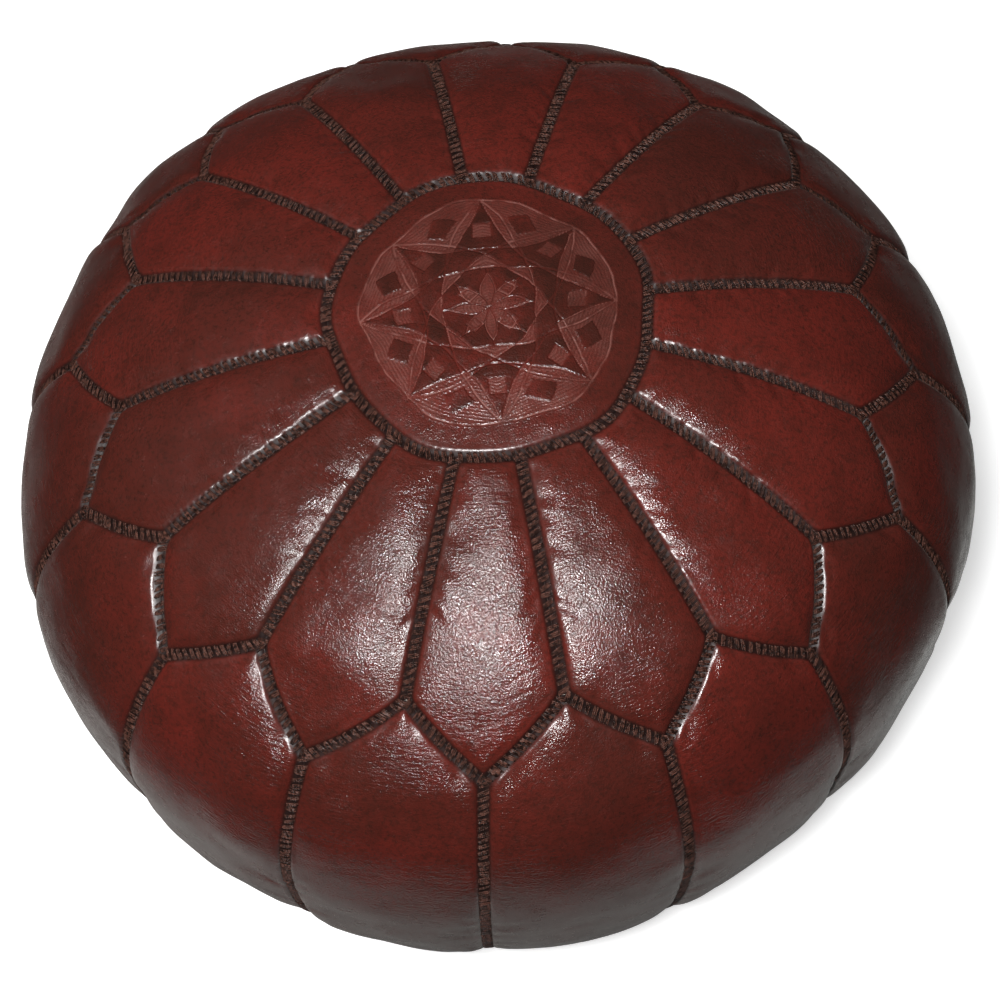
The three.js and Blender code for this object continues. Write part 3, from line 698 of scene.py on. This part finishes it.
def star_relief(x, y):
    """The depth of the tooling at each place on the medallion, and how worked the leather is, with a
    painted highlight along the pressed lines.
    """
    drift_x = 1.3 * MM * noise(x, y, 17 * MM, 2) + 0.35 * MM * noise(x, y, 5 * MM, 6)
    drift_y = 1.3 * MM * noise(x, y, 17 * MM, 4)
    sx, sy = (x + drift_x) / STAR_RADIUS, (y + drift_y) / STAR_RADIUS
    fx, fy = fold_to_tip(sx, sy)
    radius, off_tip = np.hypot(fx, fy), np.arctan2(fy, fx)
    eighth = math.pi / 4
    inside = radius < 1

    # The lines.
    deep_here, deep_next = bow(fx, fy, 0, DEEP_BOW), bow(fx, fy, eighth, DEEP_BOW)
    shallow = [bow(fx, fy, turn, SHALLOW_BOW) for turn in (0, eighth, -eighth, 2 * eighth)]
    to_line = np.min(np.abs([deep_here, deep_next, *shallow, radius - 1]), axis=0)
    on_star = inside | (np.abs(radius - 1) < 0.02)
    to_line = np.where(on_star, to_line, 1.0) * STAR_RADIUS

    # The fields between the lines.
    gap = inside & (deep_here > 0) & (deep_next > 0)
    diamond = np.abs(radius - DIAMOND_AT) / 0.11 + np.abs(off_tip - eighth / 2) / 0.16 < 1
    corner = inside & (shallow[0] > 0) & (shallow[1] < 0) & (shallow[2] < 0)
    to_square = np.maximum(np.abs(fx - SQUARE_AT), np.abs(fy)) - SQUARE_HALF
    square = to_square < 0
    quarter = np.mod(np.arctan2(sy, sx) - STAR_TURN, 2 * eighth) - eighth
    along, beside = radius * np.cos(quarter), radius * np.sin(quarter)
    to_stud = np.maximum(np.abs(along - STUD_AT), np.abs(beside)) - STUD_HALF
    core = shallow[0] < 0
    leaf_half = BLOSSOM_HALF_WIDTH * np.sin(math.pi * np.clip(radius / BLOSSOM_RADIUS, 0, 1))
    to_leaf = np.abs(off_tip) * radius - leaf_half
    hatched = (gap & ~diamond) | corner | square | (core & (to_stud < 0))
    to_edge = np.where(core, np.minimum(np.abs(to_leaf), np.abs(to_stud)) * STAR_RADIUS, 1)
    to_edge = np.minimum(to_edge, np.where(square, 1, np.abs(to_square) * STAR_RADIUS))
    near = np.minimum(to_line, to_edge + 0.1 * MM)

    # The relief.
    broken = 0.35 + 0.65 * smooth_step(-0.4, 0.2, noise(x, y, 6 * MM, 8))
    groove = np.exp(-((near / GROOVE_WIDTH) ** 2)) * broken
    lip = np.exp(-(((near - LIP_AT) / LIP_WIDTH) ** 2))
    across_hatch = (fx * math.cos(0.35) + fy * math.sin(0.35)) * STAR_RADIUS
    hatch = 0.5 + 0.5 * np.cos(2 * math.pi * across_hatch / HATCH_PITCH)
    away = smooth_step(0.4 * MM, 1.6 * MM, near)
    pillow = smooth_step(0, 4 * MM, near)
    depth = np.where(hatched, -0.22 * MM * hatch * away - 0.1 * MM, 0.3 * MM * pillow)
    depth = np.where(inside, depth, 0) - GROOVE_DEPTH * groove + 0.14 * MM * lip

    # How worked: above 0 where the leather is scuffed pale, and along the pressed lines, which carry
    # a painted highlight; below 0 where it is dark.
    fresh = 0.6 + 0.4 * noise(x, y, 11 * MM, 9)
    petals = core & (to_leaf < 0)
    worked = np.where((hatched | petals) & inside, (0.15 + 0.27 * hatch) * fresh, 0.0)
    patchy = -0.45 + 0.55 * noise(x, y, 9 * MM, 11)
    dark = inside & ~hatched & ~petals
    shade = np.clip(patchy, -0.9, 0) * dark * smooth_step(0, 1 * MM, near)
    # The pressed lines are painted pale: a painted highlight where their edges catch the light.
    return depth, np.where(shade < 0, shade, np.maximum(worked * away, 0.8 * groove))


def build_medallion():
    """A polar disc with the star pressed into it, and a plain underside."""
    segments = 560
    star = np.arange(0.8, 69, 0.5) * MM
    margin = np.linspace(69.8, 79, 11) * MM
    edge = np.linspace(79.5 * MM, MEDALLION_RADIUS - EDGE_GAP, 10)
    s = upper_at(np.concatenate([star, margin, edge]))
    theta, s = np.meshgrid(np.arange(segments) * 2 * math.pi / segments, s)
    height, distance = medallion_height(theta, s)
    r = outline(s, "r")
    # The second value holds the tooled pattern and a painted highlight along the pressed lines.
    depth, worked = star_relief(r * np.cos(theta), r * np.sin(theta))
    top = place(theta, s, height + depth)
    under = place(theta[-1:], s[-1:], height[-1:] - LEATHER)
    middle = place(np.zeros(2), np.zeros(2), np.array([MEDALLION_CROWN, MEDALLION_CROWN - LEATHER]))
    piece = turned("medallion_leather", np.concatenate([top, under]), *middle)
    paint(piece, "seam_distance", np.concatenate([distance, distance[-1:]]))
    paint(piece, "tooling_and_highlight", worked)
    paint(piece, "tone", np.full(s.shape, -0.08))
    return piece


# ---- Panels, base and filling as meshes ----

def build_panel(panel):
    width = 2 * HALF * (PETAL_TIP_RADIUS if panel in PETALS else RADIUS)
    length = float(panel.bottom(np.zeros(1))[0] - panel.top(np.zeros(1))[0])
    fine = 1.0 if panel in PETALS else 1.35
    across = edge_spaced(width, 0.5 * MM, 1.5 * fine * MM, 6.5 * MM) * 2 - 1
    down = edge_spaced(length, 0.5 * MM, 0.95 * fine * MM, 6.5 * MM)
    phi, s = panel.surface(across, down)
    height, distance = panel.height(phi, s)
    theta = panel.middle + phi * (1 - EDGE_GAP / (outline(s, "r") * HALF))
    piece = shell(panel.name, above_floor(place(theta, s, height)), LEATHER)
    paint(piece, "seam_distance", distance)
    paint(piece, "across", outline(s, "r") * phi + panel.number)
    paint(piece, "down", s)
    paint(piece, "tone", np.full(s.shape, rng.uniform(-0.12, 0.12)))
    return piece


def build_base_half(name, side):
    """Half of the round base, from the zip's folded edge out to the rim."""
    columns = np.linspace(math.radians(1.2), math.pi - math.radians(1.2), 420)
    radius = BASE_RADIUS - EDGE_GAP
    x = radius * np.cos(columns)
    rim = radius * np.sin(columns)
    edge = np.minimum(base_edge(x), rim - 1 * MM)
    down = edge_spaced(BASE_RADIUS, 0.5 * MM, 2.2 * MM, 7 * MM)
    y = rim + (edge - rim) * down[:, None]
    x = np.broadcast_to(x, y.shape)
    theta, s = np.arctan2(y, x), S_MIDDLE - np.hypot(x, y)
    if side < 0:
        theta = theta + math.pi
    height, distance = base_height(theta, s)
    piece = shell(name, above_floor(place(theta, s, height)), LEATHER)
    paint(piece, "seam_distance", distance)
    return piece


def build_stuffing():
    """The filling: lumpy, a little inside the cover, and flat where it rests over the zip."""
    s = np.linspace(0, S_MIDDLE, 220)[1:-1]
    theta, s = np.meshgrid(np.arange(240) * 2 * math.pi / 240, s)
    around = 40 * MM * SECTORS / (2 * math.pi)
    lumps = noise(theta * around, s, 22 * MM, 70)
    lumps = lumps * smooth_step(0, 60 * MM, outline(s, "r"))
    points = place(theta, s, -7 * MM + 1.2 * MM * lumps)
    over_zip = STUFFING_UNDERSIDE
    points[..., 2] = over_zip + np.logaddexp(0, (points[..., 2] - over_zip) / (2 * MM)) * 2 * MM
    top = place(np.zeros(1), np.zeros(1), -7 * MM)[0]
    return turned("cotton_stuffing", points, top, [0, 0, points[-1, :, 2].min()])


def build_zip_stitches(name, side):
    """A row of running stitches that holds a tape to the leather beside the opening."""
    half = ZIP_STITCH_PITCH * 0.36
    x = np.arange(-ZIP_STITCH_END, ZIP_STITCH_END, ZIP_STITCH_PITCH)
    along = np.array([-1, -0.85, -0.4, 0.4, 0.85, 1]) * half
    x = x[:, None] + along + rng.normal(0, 0.1 * MM, (len(x), 1))
    y = np.full_like(x, side * ZIP_STITCH_OFFSET) + rng.normal(0, 0.06 * MM, (len(x), 1))
    theta, s = np.arctan2(y, x), S_MIDDLE - np.hypot(x, y)
    lift = np.array([-0.6, 0.05, 0.22, 0.22, 0.05, -0.6]) * MM
    paths = place(theta, s, base_height(theta, s)[0] + lift)
    beside = np.tile([0.0, 1.0, 0.0], (len(x), 1))
    return tubes(name, paths, beside, 0.32 * MM)


# ---- Camera, light and floor ----

CAMERA_ELEVATION = math.radians(62.4)
CAMERA_TURN = math.radians(8.5)   # the pattern is turned this far from the camera's own axes
CAMERA_ROLL = math.radians(-1.76)
CAMERA_DISTANCE = 3.807 * RADIUS
BACK = Vector((0, -math.cos(CAMERA_ELEVATION), math.sin(CAMERA_ELEVATION)))
TURNED = Matrix.Rotation(-CAMERA_TURN, 3, "Z")
TARGET = Vector((0, 0, WIDEST))


def add_camera():
    """From high in front, aimed at the middle of the body at its widest level."""
    right, up = Vector((1, 0, 0)), BACK.cross(Vector((1, 0, 0)))
    rolled_right = right * math.cos(CAMERA_ROLL) + up * math.sin(CAMERA_ROLL)
    rolled_up = up * math.cos(CAMERA_ROLL) - right * math.sin(CAMERA_ROLL)
    axes = TURNED @ Matrix((rolled_right, rolled_up, BACK)).transposed()
    camera = bpy.data.cameras.new("camera")
    camera.lens = 63.9
    camera.sensor_width = 36
    camera.shift_x = 0.005
    camera.shift_y = -0.0405
    camera.clip_start = 0.02
    camera.clip_end = 50
    holder = bpy.data.objects.new("camera", camera)
    at = TARGET + TURNED @ BACK * CAMERA_DISTANCE
    holder.matrix_world = Matrix.Translation(at) @ axes.to_4x4()
    bpy.context.scene.collection.objects.link(holder)
    bpy.context.scene.camera = holder


def add_area_light(name, place_at, aim, size, power):
    light = bpy.data.lights.new(name, "AREA")
    light.shape = "DISK"
    light.size = size
    light.energy = power
    holder = bpy.data.objects.new(name, light)
    holder.location = place_at
    holder.rotation_euler = (Vector(aim) - Vector(place_at)).to_track_quat("-Z", "Y").to_euler()
    bpy.context.scene.collection.objects.link(holder)
    return holder


def add_lights():
    """A flash above the camera and a soft light overhead, which shows in no reflection."""
    flash_at = TURNED @ (BACK * CAMERA_DISTANCE + Vector((-0.07, 0.02, 0.20)))
    add_area_light("flash", flash_at, TARGET, 0.14, 11)
    overhead = add_area_light("overhead", TURNED @ Vector((-1.1, 0.1, 2.1)), (0, 0, 0.2), 1.8, 36)
    overhead.visible_glossy = False


def add_surroundings():
    """Dim surroundings, bright low down for the leather's edges to reflect, but plain grey to
    the camera."""
    n = Nodes(bpy.data.worlds.new("surroundings"), "Background")
    up = n.add("SeparateXYZ", Vector=n.add("TexCoord").outputs["Generated"]).outputs["Z"]
    brightness = [(0, 0.18), (0.04, 0.22), (0.065, 0.80), (0.10, 0.30), (0.20, 0.06),
                  (0.50, 0.015), (0.75, 0.05)]
    stops = [(at, (value, value, value * 0.97)) for at, value in brightness]
    seen = n.add("LightPath").outputs["Is Camera Ray"]
    n.set(Color=n.mix(seen, n.ramp(n.levels(up, -1, 1), *stops), (0.8, 0.8, 0.8)))
    bpy.context.scene.world = n.owner
    bpy.context.scene.view_settings.view_transform = "Standard"


def add_floor():
    """A plain pale floor, clear from below so that the underside can be seen."""
    size = 6
    corners = np.array([[-size, -size, 0], [size, -size, 0], [size, size, 0], [-size, size, 0]])
    floor = mesh_object("floor", corners, np.array([[0, 1, 2, 3]]))
    n = Nodes(bpy.data.materials.new("floor_white"))
    n.set(Base_Color=(0.93, 0.93, 0.93, 1), Roughness=0.9, Emission_Color=(1, 1, 1, 1),
          Emission_Strength=0.60)
    one_sided = n.add("MixShader", Fac=n.add("NewGeometry").outputs["Backfacing"])
    n.link(one_sided.inputs[1], n.shader.outputs["BSDF"])
    n.link(one_sided.inputs[2], n.add("BsdfTransparent").outputs["BSDF"])
    n.link(n.tree.nodes["Material Output"].inputs["Surface"], one_sided.outputs["Shader"])
    floor.data.materials.append(n.owner)
    floor.visible_glossy = False
    floor.visible_diffuse = False


# ---- Materials ----

class Nodes:
    """Short names for building the nodes of a material or of the world."""

    def __init__(self, owner, shader="Principled BSDF"):
        self.owner = owner
        owner.use_nodes = True
        self.tree = owner.node_tree
        self.shader = self.tree.nodes[shader]

    def add(self, kind, **settings):
        """A node of that kind. A setting with a capital letter is an input, with _ for a space
        in its name, and takes a value or another node's output."""
        node = self.tree.nodes.new("ShaderNode" + kind)
        for key, value in settings.items():
            if key[0].isupper():
                self.link(node.inputs[key.replace("_", " ")], value)
            else:
                setattr(node, key, value)
        return node

    def link(self, socket, value):
        if isinstance(value, bpy.types.NodeSocket):
            self.tree.links.new(value, socket)
        else:
            socket.default_value = value

    def set(self, **inputs):
        for key, value in inputs.items():
            self.link(self.shader.inputs[key.replace("_", " ")], value)

    def position(self):
        return self.add("TexCoord").outputs["Object"]

    def noise(self, scale, detail=2.0, roughness=0.5, distortion=0.0, vector=None):
        node = self.add("TexNoise", Scale=scale, Detail=detail, Roughness=roughness,
                        Distortion=distortion, Vector=vector or self.position())
        return node.outputs["Fac"]

    def ramp(self, value, *stops):
        """Maps a value through (place, colour) stops."""
        node = self.add("ValToRGB", Fac=value)
        elements = node.color_ramp.elements
        while len(elements) < len(stops):
            elements.new(0.5)
        for element, (at, colour) in zip(elements, stops):
            element.position = at
            element.color = (*colour, 1) if len(colour) == 3 else colour
        return node.outputs["Color"]

    def levels(self, value, low, high, to_low=0.0, to_high=1.0):
        node = self.add("MapRange", Value=value)
        for number, setting in enumerate((low, high, to_low, to_high), 1):
            node.inputs[number].default_value = setting
        return node.outputs[0]

    def mix(self, share, first, second, blend="MIX"):
        node = self.add("Mix", data_type="RGBA", blend_type=blend)
        for number, value in ((0, share), (6, first), (7, second)):
            if isinstance(value, tuple) and len(value) == 3:
                value = (*value, 1)
            self.link(node.inputs[number], value)
        return node.outputs[2]

    def math(self, operation, first, second):
        node = self.add("Math", operation=operation)
        self.link(node.inputs[0], first)
        self.link(node.inputs[1], second)
        return node.outputs[0]

    def bump(self, height, distance, strength=1.0, below=None):
        node = self.add("Bump", Height=height, Distance=distance, Strength=strength)
        if below is not None:
            self.link(node.inputs["Normal"], below)
        return node.outputs["Normal"]


DEEP_RED = (0.094, 0.0120, 0.0082)
BROWN_RED = (0.058, 0.0108, 0.0074)
DARK_BROWN = (0.023, 0.0075, 0.0050)
# The next colour is painted shade for the seam valley, with some dye on the cut edges.
SEAM_DYE_AND_SHADE = (0.012, 0.0052, 0.0042)
# The next colour is the scuffed pale of the tooling, and a painted highlight along its pressed lines.
PALE_SCUFF_AND_HIGHLIGHT = (0.210, 0.080, 0.065)


def leather_material():
    """Waxed burgundy leather: mottled dye, darkened in the seams by painted shade with some edge dye,
    fine grain and small scuffs.
    """
    n = Nodes(bpy.data.materials.new("burgundy_leather"))
    mottle = n.noise(14, detail=5, roughness=0.6)
    blotch = n.noise(55, detail=4, roughness=0.65)
    tone = n.add("Attribute", attribute_name="tone").outputs["Fac"]
    colour = n.ramp(n.math("ADD", mottle, tone), (0.33, BROWN_RED), (0.62, DEEP_RED))
    colour = n.mix(n.levels(blotch, 0.45, 0.75, 0, 0.5), colour, DARK_BROWN)
    speckle = n.noise(480, detail=3, roughness=0.7)
    colour = n.mix(n.levels(speckle, 0.46, 0.66, 0, 0.6), colour, DARK_BROWN)
    seam = n.add("Attribute", attribute_name="seam_distance").outputs["Fac"]
    # Painted shade: the valley between the stitches is darkened nearly to black, with some dye on the
    # cut edges.
    seam_dye_and_shade = n.levels(seam, 2.5 * MM, 4.0 * MM, 0.93, 0.0)
    colour = n.mix(seam_dye_and_shade, colour, SEAM_DYE_AND_SHADE)
    # The tooled pattern's dark fields and pale marks. The pale marks along the pressed lines are a
    # painted highlight.
    tooling_and_highlight = n.add("Attribute", attribute_name="tooling_and_highlight").outputs["Fac"]
    colour = n.mix(n.levels(tooling_and_highlight, -1, 0, 0.9, 0), colour, DARK_BROWN)
    tooling_and_highlight = n.levels(tooling_and_highlight, 0, 1)
    colour = n.mix(n.math("MULTIPLY", tooling_and_highlight, 0.85), colour, PALE_SCUFF_AND_HIGHLIGHT)
    pores = n.add("TexVoronoi", Scale=1100.0, Vector=n.position()).outputs["Distance"]
    grain = n.noise(700, detail=3, roughness=0.7)
    fine = n.mix(0.5, pores, grain)
    hollows = n.noise(150, detail=4, roughness=0.6, distortion=0.6)
    away = n.levels(seam, 3.5 * MM, 8.0 * MM, 0.15, 1.0)
    normal = n.bump(hollows, 0.6 * MM, n.math("MULTIPLY", away, 0.35))
    across = n.add("Attribute", attribute_name="across").outputs["Fac"]
    down = n.add("Attribute", attribute_name="down").outputs["Fac"]
    weave = n.add("CombineXYZ", X=n.math("MULTIPLY", across, 0.22), Y=down).outputs["Vector"]
    streaks = n.noise(620, detail=3, roughness=0.6, distortion=0.7, vector=weave)
    worn = n.levels(n.noise(17, detail=2), 0.46, 0.62, 0.1, 1.0)
    normal = n.bump(streaks, 0.6 * MM, n.math("MULTIPLY", worn, away), below=normal)
    normal = n.bump(fine, 0.32 * MM, away, below=normal)
    gloss = n.levels(n.noise(90, detail=6, roughness=0.7), 0.3, 0.7, 0.12, 0.32)
    gloss = n.math("ADD", gloss, n.levels(seam, 1.9 * MM, 3.3 * MM, 0.28, 0.0))
    gloss = n.math("ADD", gloss, n.levels(seam, 4.0 * MM, 7.0 * MM, 0.08, 0.0))
    gloss = n.math("ADD", gloss, n.math("MULTIPLY", tooling_and_highlight, 0.2))
    n.set(Base_Color=colour, Roughness=gloss, Normal=normal, Specular_IOR_Level=0.5,
          Sheen_Weight=0.05, Sheen_Roughness=0.25, Sheen_Tint=(1.0, 0.88, 0.80, 1))
    return n.owner


def thread_material():
    """Dark brown waxed thread, its plies twisted."""
    n = Nodes(bpy.data.materials.new("waxed_thread"))
    tint = n.noise(520, detail=3)
    colour = n.ramp(tint, (0.38, (0.016, 0.0072, 0.0054)), (0.62, (0.105, 0.043, 0.031)))
    twist = n.add("TexWave", Scale=520.0, Distortion=3.0, Detail=2.0, bands_direction="DIAGONAL",
                  Vector=n.position()).outputs["Fac"]
    n.set(Base_Color=colour, Roughness=0.38, Normal=n.bump(twist, 0.3 * MM),
          Specular_IOR_Level=0.3)
    return n.owner


def brass_material():
    """Antique brass, brighter where it is rubbed."""
    n = Nodes(bpy.data.materials.new("antique_brass"))
    tarnish = n.noise(300, detail=5, roughness=0.65)
    colour = n.ramp(tarnish, (0.35, (0.16, 0.10, 0.045)), (0.65, (0.48, 0.34, 0.16)))
    n.set(Base_Color=colour, Metallic=1.0, Roughness=n.levels(tarnish, 0.3, 0.7, 0.5, 0.28),
          Normal=n.bump(n.noise(1500, detail=2), 0.05 * MM, 0.4))
    return n.owner


def tape_material():
    """Dark woven cotton tape with a herringbone rib."""
    n = Nodes(bpy.data.materials.new("zip_tape_weave"))
    ribs = n.add("TexWave", Scale=330.0, bands_direction="X", Vector=n.position()).outputs["Fac"]
    rows = n.add("TexWave", Scale=260.0, bands_direction="Y", Vector=n.position()).outputs["Fac"]
    weave = n.math("MULTIPLY", ribs, rows)
    colour = n.ramp(weave, (0.1, (0.006, 0.004, 0.004)), (0.8, (0.035, 0.022, 0.018)))
    n.set(Base_Color=colour, Roughness=0.92, Normal=n.bump(weave, 0.3 * MM, 0.8))
    return n.owner


def wadding_material():
    """Off-white cotton wadding."""
    n = Nodes(bpy.data.materials.new("cotton_wadding"))
    fluff = n.noise(160, detail=8, roughness=0.75, distortion=1.2)
    colour = n.ramp(fluff, (0.3, (0.42, 0.38, 0.31)), (0.7, (0.72, 0.69, 0.62)))
    n.set(Base_Color=colour, Roughness=1.0, Normal=n.bump(fluff, 4 * MM, 0.7))
    return n.owner


def finish_piece(piece, slot_name, node):
    """Gives a piece its material and slot, hangs it under the root body, and hides the CAD node that
    it stands for.
    """
    piece.data.materials.append(LOOKS[slot_name])
    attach(piece, "root")
    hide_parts(node)


# ---- Putting it together ----

add_camera()
add_lights()
add_surroundings()
add_floor()

LOOKS = {
    "leather": leather_material(),
    "thread": thread_material(),
    "wadding": wadding_material(),
    "zip_tape": tape_material(),
    "zip_metal": brass_material(),
}

blow_up(PETALS + SIDES)

finish_piece(build_medallion(), "leather", "medallion")
for panel in PETALS + SIDES:
    finish_piece(build_panel(panel), "leather", panel.node)
for side, word in ((1, "back"), (-1, "front")):
    finish_piece(build_base_half(f"base_leather_{word}", side), "leather", f"base_half_{word}")
    finish_piece(build_zip_stitches(f"zip_stitches_{word}", side), "thread", f"zip_stitching_{word}")
finish_piece(build_stuffing(), "wadding", "stuffing")

ring = [stitch_row((0, S_MEDALLION), (2 * math.pi, S_MEDALLION))]
finish_piece(sew("medallion_stitches", ring), "thread", "medallion_seam_thread")
base_ring = [stitch_row((0, S_BASE), (2 * math.pi, S_BASE))]
finish_piece(sew("base_stitches", base_ring), "thread", "side_seam_thread")
for i in range(SECTORS):
    spoke, tip = i * SECTOR, (i + 0.5) * SECTOR
    petal_seam = [stitch_row((spoke, S_MEDALLION), (spoke, S_PEAK))]
    zigzag = [stitch_row((spoke, S_PEAK), (tip, S_TIP)),
              stitch_row((tip, S_TIP), (spoke + SECTOR, S_PEAK))]
    side_seam = [stitch_row((tip, S_TIP), (tip, S_BASE))]
    finish_piece(sew(f"petal_stitches_{i + 1:02d}", petal_seam), "thread", "petal_seam_thread")
    finish_piece(sew(f"zigzag_stitches_{i + 1:02d}", zigzag), "thread", "petal_seam_thread")
    finish_piece(sew(f"side_stitches_{i + 1:02d}", side_seam), "thread", "side_seam_thread")
for theta, word in ((math.pi, "left"), (0, "right")):
    end_row = [stitch_row((theta, S_MIDDLE - END_SEAM[0]), (theta, S_MIDDLE - END_SEAM[1]))]
    finish_piece(sew(f"end_stitches_{word}", end_row), "thread", f"base_end_seam_thread_{word}")

# The zip's own parts keep their CAD shape, with softened edges.
for part in frame["record"]["subparts"]:
    node = frame["nodes"][part["node"]]
    if not node.hide_render:
        node.data.materials.clear()
        node.data.materials.append(LOOKS[part["material_slot"]])
        bevel = node.modifiers.new("soft edges", "BEVEL")
        bevel.width = 0.2 * MM
        bevel.segments = 2
        bevel.limit_method = "ANGLE"
